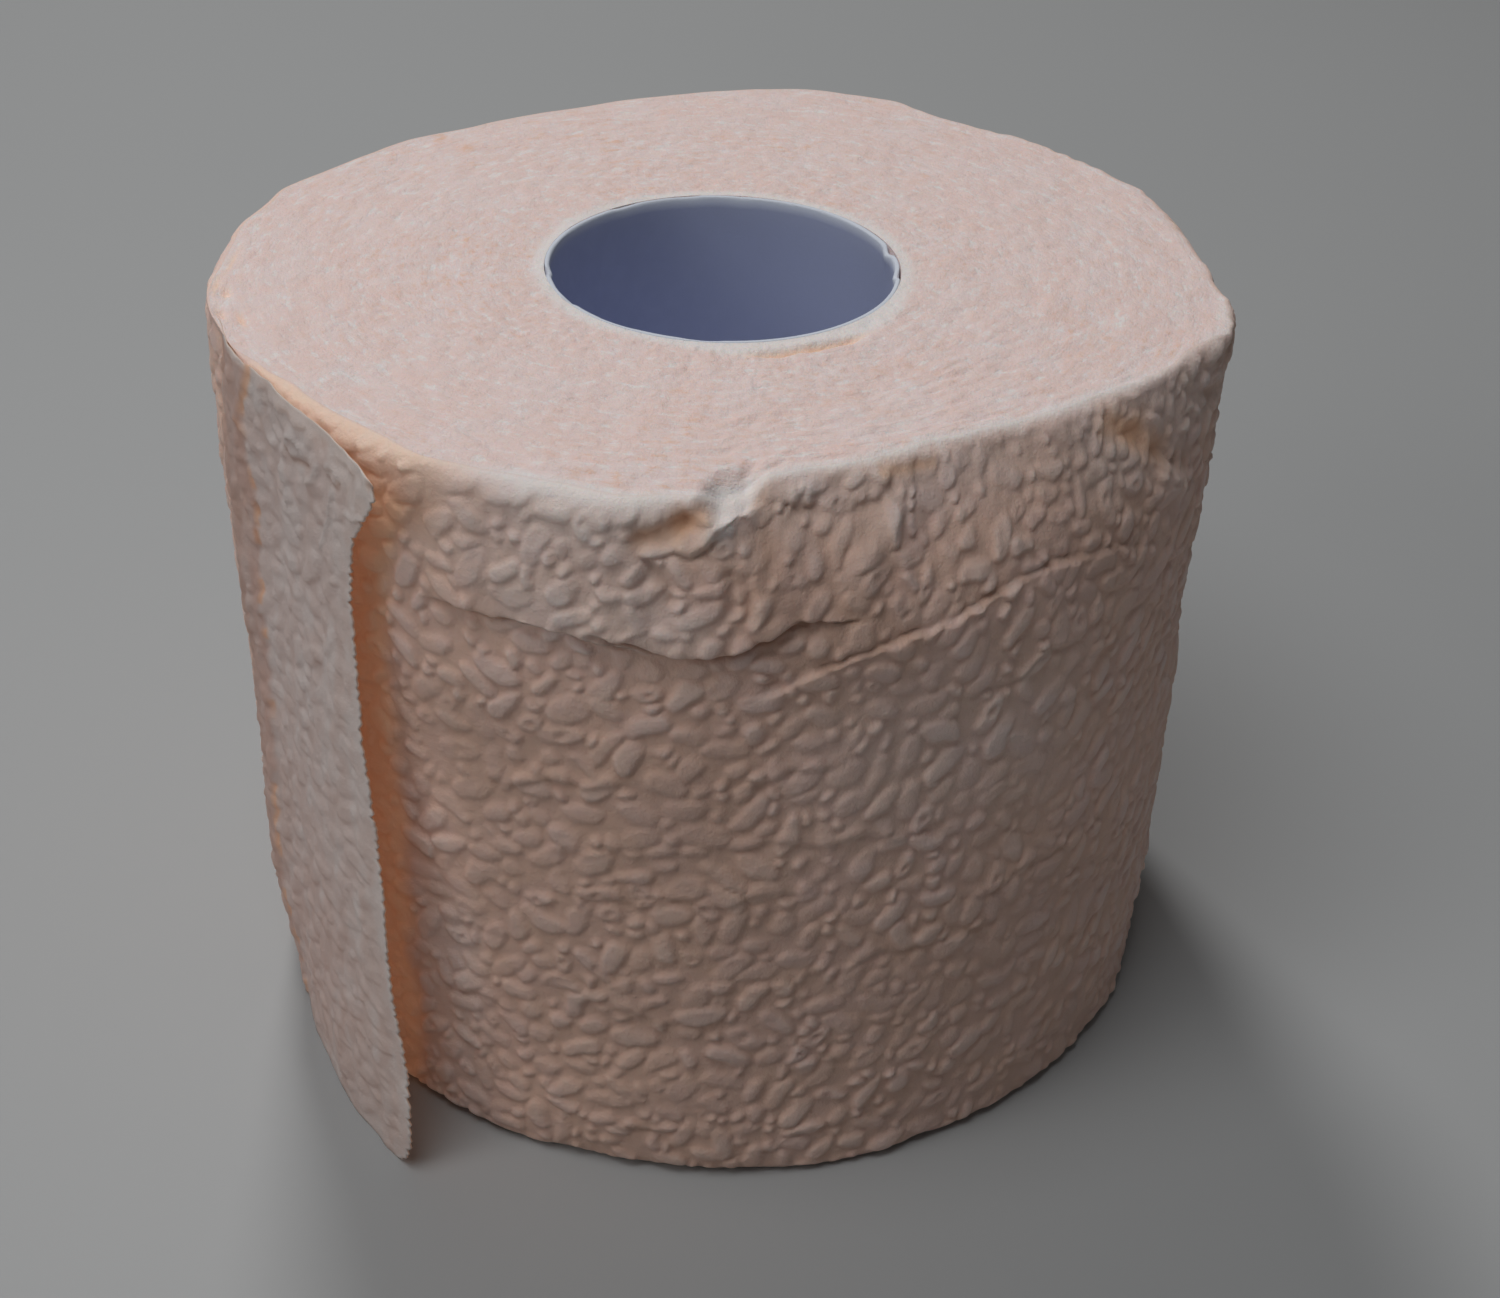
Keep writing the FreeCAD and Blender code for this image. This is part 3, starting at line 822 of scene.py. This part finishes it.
def loosePiece():
    e = looseEnd
    first, last = e["span"]
    length = math.radians(last - first) * (rollShape["radius"] + 0.5 * e["liftLower"])
    rows = round(rollHeight / e["rowStep"])
    columns = round(length / e["columnStep"])
    height = np.broadcast_to(np.linspace(0.0, rollHeight, rows + 1)[:, None], (rows + 1, columns + 1)).copy()
    share = np.linspace(0.0, 1.0, columns + 1)[None, :] * tornShare(height[:, :1], length)
    angle = first + share * (last - first)
    lower = e["liftLower"] * share ** e["curlLower"]
    lift = lower + (e["liftUpper"] * share ** e["curlUpper"] - lower) * height / rollHeight
    # near its start the sheet carries the grains of the side, and sinks into it
    leaving = smooth((share - 0.03) / 0.13)
    ownEmboss, sideEmboss = embossed(angle + 120.0, height)[0], embossed(angle, height)[0]
    emboss = 0.65 * ownEmboss * leaving + sideEmboss * (1.0 - leaving)
    fromEdge = (tornShare(height[:, :1], length) - share) * length
    calm = smooth((fromEdge - 1.4) / 2.4) * smooth(height / 2.0) * smooth((rollHeight - height) / 2.0)
    seamAngle = np.interp(-height, [-level for level in e["seamHeights"]], e["seamAngles"])
    fromSeam = (angle - seamAngle) * perDegree + 0.5 * levelNoise(height, 4.0, 2.4, 94)
    onTop = smooth(0.5 - fromSeam / 0.6)
    sway = 0.5 * softNoise(angle, height, 16.0, 24.0, 91) + 0.3 * softNoise(angle, height, 6.0, 11.0, 92)
    flute = 0.22 * softNoise(angle, height, 2.6, 14.0, 95)
    flat = 0.12 * softNoise(angle, height, 1.6, 1.6, 93)
    marked, markShade, markGlow, markPale = stroked(angle, height, tailStrokes)
    resting = broadSwell(angle, height) * smooth(height / 4.0) * (1.0 - smooth((share - 0.2) / 0.4))
    middle = outlineRadius(angle, height) + resting + lift + sway * share * smooth(share / 0.1)
    middle = middle - 0.35 * (1.0 - smooth(share / 0.12))
    relief = emboss * calm + (flat + flute + marked + 0.3 * onTop) * leaving
    turn = np.radians(angle)

    def sheetFace(offset):
        radius = middle + relief + offset * (1.0 - 0.6 * smooth((height - rollHeight + 1.4) / 1.4))
        return np.stack([radius * np.cos(turn), radius * np.sin(turn), height], -1)

    outer, inner = sheetFace(0.5 * e["thickness"]), sheetFace(-0.5 * e["thickness"])
    points = np.concatenate([outer, inner[:, ::-1]], 1)
    wide = points.shape[1]
    number = np.arange((rows + 1) * wide).reshape(rows + 1, wide)
    nextNumber = np.roll(number, -1, 1)
    around = np.stack([number[:-1], nextNumber[:-1], nextNumber[1:], number[1:]], -1).reshape(-1, 4)
    caps = []
    for row, flip in ((0, True), (rows, False)):
        ahead = number[row, :columns + 1]
        behind = number[row, ::-1][:columns + 1]
        cap = np.stack([ahead[:-1], ahead[1:], behind[1:], behind[:-1]], -1)
        caps.append(cap[:, ::-1] if flip else cap)
    faces = np.concatenate([around] + caps)
    paleEdge = np.maximum(1.0 - fromEdge / 0.7, 0.0) + smooth((height - rollHeight + 1.2) / 1.0)
    downward = np.gradient(relief, axis=0) / e["rowStep"]
    fleck = softNoise(angle, height, 1.7, 4.6, 97) + 0.6 * softNoise(angle + 30.0, height, 0.9, 2.2, 98)
    # painted shade under the slopes that face down, along the marks and on the part before the seam; the dark
    # flecks are the paper's own
    shade = 0.5 * smooth(downward - 0.2) + markShade + 0.16 * np.maximum(-fleck, 0.0) + 0.1 * onTop * leaving
    # painted glow along the seam
    seamGlow = bell(fromSeam, 0.2, 0.4) * smooth(0.4 + 1.5 * levelNoise(height, 4.0, 1.7, 96))
    seamGlow = np.maximum(seamGlow, bell(fromSeam, 0.2, 0.5) * smooth((height - 87.0) / 2.0))
    # painted light: the sheet is paler higher up and much less pale before the seam, as painted shade; the
    # pale flecks are the paper's own
    paintedPaleAndFleck = 0.12 + 0.68 * (1.0 - onTop) * (0.45 + 0.55 * smooth(height / 60.0))
    paintedPaleAndFleck = paintedPaleAndFleck + 0.3 * np.maximum(fleck, 0.0)
    outerMarks = np.stack([1.0 - leaving, paintedPaleAndFleck + paleEdge + markPale, shade, seamGlow + markGlow], -1)
    # the inner face carries painted glow all over
    innerMarks = np.stack([0.0 * height, 0.3 * paleEdge, 0.0 * height, 0.0 * height + 0.8], -1)
    marks = np.clip(np.concatenate([outerMarks, innerMarks[:, ::-1]], 1), 0.0, 1.0)
    return meshFrom("loose_end", points.reshape(-1, 3), faces, marks.reshape(-1, 4))


coreShape = {
    "wall": 0.6,
    "columns": 300,
    "rows": 70,
    "ragged": 0.22,
    # angles of the small places where the rim has come away from the paper
    "nicks": (16.0, 189.0, 214.0, 358.0),
}


def corePiece():
    c = coreShape
    bore = coreOuter - c["wall"]
    angle = np.linspace(0.0, 360.0, c["columns"], endpoint=False)
    ragged = c["ragged"] * (0.7 * ringNoise(angle, 9.0, 101) + 0.5 * ringNoise(angle, 24.0, 102))
    nick = sum(bell((angle - place + 180.0) % 360.0 - 180.0, 0.0, 3.2) for place in c["nicks"])
    inside = []
    for row in range(c["rows"] + 1):
        level = rollHeight * row / c["rows"]
        nearEnd = math.exp(-(rollHeight - level) / 1.6)
        radius = bore - 0.35 * nick * nearEnd + 0.12 * ringNoise(angle, 30.0, 103)
        top = level + (ragged - 0.3 - 0.5 * nick) * nearEnd
        inside.append((radius, np.clip(top, 0.0, rollHeight), nearEnd))
    bend = [(0.12, 0.24), (0.3, 0.36), (0.48, 0.36), (0.6, 0.34)]
    crest = inside[-1]
    rim = [(crest[0] + out, np.clip(crest[1] + up, 0.0, rollHeight), 1.0) for out, up in bend]
    outside = [(np.full(angle.shape, coreOuter), np.full(angle.shape, level), 0.2)
               for level in (rollHeight - 2.0, rollHeight - 8.0, 0.5 * rollHeight, 0.0)]
    loops = inside + rim + outside
    turn = np.radians(angle)
    points = np.stack([np.stack([r * np.cos(turn), r * np.sin(turn), z], -1) for r, z, pale in loops])
    pale = np.array([p for r, z, p in loops])
    pale = np.where(pale > 0.8, 1.0, pale * 0.35)
    number = np.arange(points.shape[0] * points.shape[1]).reshape(points.shape[:2])
    nextNumber = np.roll(number, -1, 1)
    faces = np.stack([number[:-1], number[1:], nextNumber[1:], nextNumber[:-1]], -1).reshape(-1, 4)
    closing = np.stack([number[-1], number[0], nextNumber[0], nextNumber[-1]], -1)
    faces = np.concatenate([faces, closing])
    marks = np.zeros(points.shape[:2] + (4,))
    marks[:, :, 1] = pale[:, None]
    upward = points[:, :, 2] / rollHeight
    # painted shade: the board's colour is darkened towards its upper end, more so at the back right
    paintedShade = 1.2 * (upward - 0.45) + 0.55 * upward * np.cos(np.radians(angle - 45.0))
    marks[:, :, 2] = np.clip(paintedShade, 0.0, 1.0)
    return meshFrom("core_board", points.reshape(-1, 3), faces, marks.reshape(-1, 4))


class Sock:
    # wraps a shader socket, so that an expression on sockets and numbers adds its Math nodes
    def __init__(self, finish, node, index=0):
        self.finish = finish
        self.node = node
        self.socket = node.outputs[index] if len(node.outputs) else None

    def out(self, index):
        return Sock(self.finish, self.node, index)

    def maths(self, operation, left, right):
        return self.finish.node("Math", {"operation": operation}, {0: left, 1: right})

    def __add__(self, other):
        return self.maths("ADD", self, other)

    def __radd__(self, other):
        return self.maths("ADD", other, self)

    def __sub__(self, other):
        return self.maths("SUBTRACT", self, other)

    def __rsub__(self, other):
        return self.maths("SUBTRACT", other, self)

    def __mul__(self, other):
        return self.maths("MULTIPLY", self, other)

    def __rmul__(self, other):
        return self.maths("MULTIPLY", other, self)

    def __truediv__(self, other):
        return self.maths("DIVIDE", self, other)


class Finish:
    # one material and the nodes that make it
    def __init__(self, name):
        self.material = bpy.data.materials.new(name)
        self.material.use_nodes = True
        self.tree = self.material.node_tree
        self.tree.nodes.clear()

    def node(self, kind, settings=None, inputs=None, out=0):
        # settings first, then a value or a link for each socket
        made = self.tree.nodes.new("ShaderNode" + kind)
        for key, value in (settings or {}).items():
            setattr(made, key, value)
        for key, value in (inputs or {}).items():
            if isinstance(value, Sock):
                self.tree.links.new(value.socket, made.inputs[key])
            else:
                made.inputs[key].default_value = value
        return Sock(self, made, out)

    def mixed(self, factor, first, second):
        return self.node("Mix", {"data_type": "RGBA"}, {0: factor, 6: first, 7: second}, out=2)

    def noise(self, place, scale, detail=2.0, roughness=0.5):
        values = {"Vector": place, "Scale": scale, "Detail": detail, "Roughness": roughness}
        return self.node("TexNoise", None, values)

    def ranged(self, value, low, high, newLow=0.0, newHigh=1.0):
        limits = {1: low, 2: high, 3: newLow, 4: newHigh}
        return self.node("MapRange", {"interpolation_type": "SMOOTHSTEP"}, {0: value, **limits})

    def stretched(self, place, scale):
        return self.node("VectorMath", {"operation": "MULTIPLY"}, {0: place, 1: scale})

    def finished(self, shader):
        self.node("OutputMaterial", None, {"Surface": shader})
        return self.material


paperLook = {
    "peach": (0.86, 0.605, 0.505, 1.0),
    "pinkish": (0.84, 0.60, 0.53, 1.0),
    "endPeach": (0.86, 0.665, 0.62, 1.0),
    "endPink": (0.86, 0.70, 0.67, 1.0),
    "orange": (0.83, 0.50, 0.33, 1.0),
    # shade, glow and pale are laid on by the marks as painted shade, painted glow and mostly painted light
    "shade": (0.44, 0.26, 0.17, 1.0),
    "glow": (0.98, 0.64, 0.42, 1.0),
    "pale": (0.87, 0.845, 0.83, 1.0),
    "through": (0.93, 0.80, 0.70, 1.0),
    # painted shade for the valleys between the grains
    "valleyShade": (0.72, 0.43, 0.30, 1.0),
    "sheet": (0.82, 0.69, 0.65, 1.0),
    "sheetPink": (0.79, 0.68, 0.65, 1.0),
    # painted glow: a faint emission wherever the glow mark lies, standing in for light that soaks through the
    # paper
    "paintedGlow": (0.036, 0.0155, 0.009, 1.0),
    "unlit": (0.0, 0.0, 0.0, 1.0),
    # scales of the blotches, warm patches, fluff, crumples and fibres
    "blotchScale": 160.0,
    "warmScale": 45.0,
    "fluffScale": 620.0,
    "crumpleScale": 900.0,
    "fibreScale": 3200.0,
    # the edges of the turns: how often they change round the roll and across it
    "streakRound": 15.0,
    "streakAcross": 1100.0,
    "fibreBump": 0.0001,
    "roughness": 0.92,
    "gloss": 0.18,
    "softness": 0.15,
    "softReach": 0.0012,
}


def marksOf(finish):
    # valley, pale, shade and glow, as the meshes carry them
    colour = finish.node("Attribute", {"attribute_name": "marks"})
    split = finish.node("SeparateColor", None, {0: colour})
    return [split.out(index) for index in range(3)] + [colour.out(3)]


def roundTheRoll(finish, place):
    # noise drawn out along the wound turns: its place goes round with the angle and steps with the radius
    flat = finish.stretched(place, (1.0, 1.0, 0.0))
    radius = finish.node("VectorMath", {"operation": "LENGTH"}, {0: flat}, out=1)
    split = finish.node("SeparateXYZ", None, {0: flat})
    return radius, split.out(0) / radius, split.out(1) / radius


def paperFinish(name, first, second, streaked=False, thin=False):
    f, look = Finish(name), paperLook
    place = f.node("TexCoord", out=3)
    valley, pale, shade, glow = marksOf(f)
    blotch = f.ranged(f.noise(place, look["blotchScale"], 3.0, 0.6), 0.38, 0.66)
    colour = f.mixed(blotch, first, second)
    relief = 0.0
    if streaked:
        radius, cosine, sine = roundTheRoll(f, place)
        spread = look["streakRound"]
        around = {0: spread * cosine, 1: spread * sine, 2: look["streakAcross"] * radius}
        streak = f.noise(f.node("CombineXYZ", None, around), 1.0, 4.0, 0.65)
        fluff = f.noise(place, look["fluffScale"], 4.0, 0.7)
        warm = f.ranged(f.noise(place, look["warmScale"], 4.0, 0.65), 0.42, 0.70)
        tint = 0.6 * streak + 0.4 * fluff
        colour = f.mixed(f.ranged(tint, 0.51, 0.64) * (0.12 + 0.5 * warm), colour, look["orange"])
        colour = f.mixed(f.ranged(tint, 0.49, 0.36) * 0.7, colour, look["pale"])
        relief = streak * 1.6 + fluff * 2.4
    # on the side the first mark lays painted shade in the valleys between the grains; on the loose end it
    # tells where it is still one with the roll
    colour = f.mixed(valley * (1.0 if thin else 0.3), colour, look["peach"] if thin else look["valleyShade"])
    # pale is mostly painted light and painted highlight, with the white of torn edges; glow is painted glow;
    # shade is painted shade
    colour = f.mixed(pale * (0.95 if thin else 0.75), colour, look["pale"])
    colour = f.mixed(glow * 0.9, colour, look["glow"])
    colour = f.mixed(shade * 0.8, colour, look["shade"])
    fibre = f.noise(place, look["fibreScale"], 3.0, 0.7)
    crumple = f.noise(place, look["crumpleScale"], 2.0, 0.5)
    uneven = fibre + 1.6 * crumple + relief
    bump = f.node("Bump", None, {"Strength": 1.0, "Distance": look["fibreBump"], "Height": uneven})
    shader = f.node("BsdfPrincipled", None, {
        "Base Color": colour, "Roughness": look["roughness"], "Specular IOR Level": look["gloss"],
        "Normal": bump, "Subsurface Weight": 0.0 if thin else look["softness"],
        "Subsurface Radius": (1.0, 0.5, 0.32), "Subsurface Scale": look["softReach"],
        "Sheen Weight": 0.12, "Sheen Roughness": 0.6,
        "Emission Color": f.mixed(glow, look["unlit"], look["paintedGlow"]), "Emission Strength": 1.0})
    if thin:
        # the single sheet lets light through
        through = f.node("BsdfTranslucent", None, {"Color": look["through"]})
        shader = f.node("MixShader", None, {0: 0.5 - 0.2 * pale, 1: shader, 2: through})
    return f.finished(shader)


boardLook = {
    "blue": (0.59, 0.64, 0.86, 1.0),
    "mottle": (0.64, 0.69, 0.91, 1.0),
    "paintedShade": (0.38, 0.42, 0.58, 1.0),
    "cutRim": (0.66, 0.70, 0.78, 1.0),
    "mottleScale": 420.0,
    "grainScale": 2400.0,
    "grainBump": 0.00005,
    "roughness": 0.78,
    "gloss": 0.3,
}


def boardFinish():
    f, look = Finish("core_board"), boardLook
    place = f.node("TexCoord", out=3)
    valley, pale, paintedShade, glow = marksOf(f)
    mottle = f.ranged(f.noise(place, look["mottleScale"], 3.0, 0.6), 0.35, 0.7)
    colour = f.mixed(mottle, look["blue"], look["mottle"])
    colour = f.mixed(paintedShade, colour, look["paintedShade"])
    colour = f.mixed(pale, colour, look["cutRim"])
    grain = f.noise(place, look["grainScale"], 3.0, 0.6)
    bump = f.node("Bump", None, {"Strength": 0.6, "Distance": look["grainBump"], "Height": grain})
    shader = f.node("BsdfPrincipled", None, {
        "Base Color": colour, "Roughness": look["roughness"], "Specular IOR Level": look["gloss"],
        "Normal": bump})
    return f.finished(shader)


floorLook = {
    "dark": (0.385, 0.393, 0.397, 1.0),
    "light": (0.41, 0.418, 0.422, 1.0),
    "size": 4.0,
    "drop": 0.0001,
    "roughness": 0.55,
    "gloss": 0.3,
}


def floorFinish():
    f = Finish("studio_floor")
    place = f.node("TexCoord", out=3)
    shade = f.noise(place, 3.0, 2.0, 0.5)
    colour = f.mixed(shade, floorLook["dark"], floorLook["light"])
    shader = f.node("BsdfPrincipled", None, {
        "Base Color": colour, "Roughness": floorLook["roughness"], "Specular IOR Level": floorLook["gloss"]})
    return f.finished(shader)


print("winding the paper")
wound = woundPieces()
print("hanging the loose end")
tail = loosePiece()
print("making the core")
core = corePiece()

print("finishes")
sidePaper = paperFinish("tissue_side", paperLook["peach"], paperLook["pinkish"])
endPaper = paperFinish("tissue_ends", paperLook["endPeach"], paperLook["endPink"], streaked=True)
for piece in wound:
    piece.data.materials.append(endPaper if piece.name.startswith("turns") else sidePaper)
sheetPaper = paperFinish("tissue_loose_end", paperLook["sheet"], paperLook["sheetPink"], thin=True)
tail.data.materials.append(sheetPaper)
core.data.materials.append(boardFinish())

for piece in wound + [tail]:
    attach(piece, "root")
    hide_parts("wound_paper")
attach(core, "root")
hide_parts("core_tube")

studio = {
    "cameraPlace": (0.0049, -0.24335, 0.20304),
    "pitch": 0.595,
    "roll": 0.034,
    "lens": 51.4512,
    "sensor": 36.0,
    "ambient": (1.0, 1.0, 1.0, 1.0),
    "ambientStrength": 0.07,
    "aim": (0.0, 0.0, 0.04),
    # name, place, size, power and colour of each light
    "lights": [
        ("window", (-0.26, 0.80, 1.05), 0.26, 5.9, (1.0, 0.99, 0.98)),
        ("ceiling", (-0.20, -0.22, 0.85), 0.5, 2.3, (0.98, 0.99, 1.0)),
        ("left_fill", (-0.66, -0.40, 0.48), 0.4, 0.95, (1.0, 0.99, 0.97)),
    ],
}


def area(name, place, target, size, power, colour):
    light = bpy.data.lights.new(name, "AREA")
    light.shape = "DISK"
    light.size, light.energy, light.color = size, power, colour
    lamp = bpy.data.objects.new(name, light)
    lamp.location = place
    lamp.rotation_euler = (Vector(target) - Vector(place)).to_track_quat("-Z", "Y").to_euler()
    bpy.context.scene.collection.objects.link(lamp)


print("studio")
floorMesh = bpy.data.meshes.new("studio_floor")
reach = floorLook["size"]
floorCorners = [(-reach, -reach, 0.0), (reach, -reach, 0.0), (reach, reach, 0.0), (-reach, reach, 0.0)]
floorMesh.from_pydata(floorCorners, [], [(0, 1, 2, 3)])
floor = bpy.data.objects.new("studio_floor", floorMesh)
floor.location.z = -floorLook["drop"]
bpy.context.scene.collection.objects.link(floor)
floor.data.materials.append(floorFinish())

for name, place, size, power, colour in studio["lights"]:
    area(name, place, studio["aim"], size, power, colour)

world = bpy.data.worlds.new("studio_air")
bpy.context.scene.world = world
world.use_nodes = True
background = world.node_tree.nodes["Background"]
background.inputs["Color"].default_value = studio["ambient"]
background.inputs["Strength"].default_value = studio["ambientStrength"]

cosPitch, sinPitch = math.cos(studio["pitch"]), math.sin(studio["pitch"])
forward = Vector((0.0, cosPitch, -sinPitch))
rightward = Vector((1.0, 0.0, 0.0))
upward = rightward.cross(forward)
cosRoll, sinRoll = math.cos(studio["roll"]), math.sin(studio["roll"])
cameraX = rightward * cosRoll + upward * sinRoll
cameraY = upward * cosRoll - rightward * sinRoll
camera = bpy.data.objects.new("camera", bpy.data.cameras.new("camera"))
camera.data.lens = studio["lens"]
camera.data.sensor_width = studio["sensor"]
camera.data.clip_start = 0.01
turned = Matrix((cameraX, cameraY, -forward)).transposed().to_4x4()
camera.matrix_world = Matrix.Translation(studio["cameraPlace"]) @ turned
bpy.context.scene.collection.objects.link(camera)
bpy.context.scene.camera = camera
bpy.context.scene.view_settings.view_transform = "Standard"
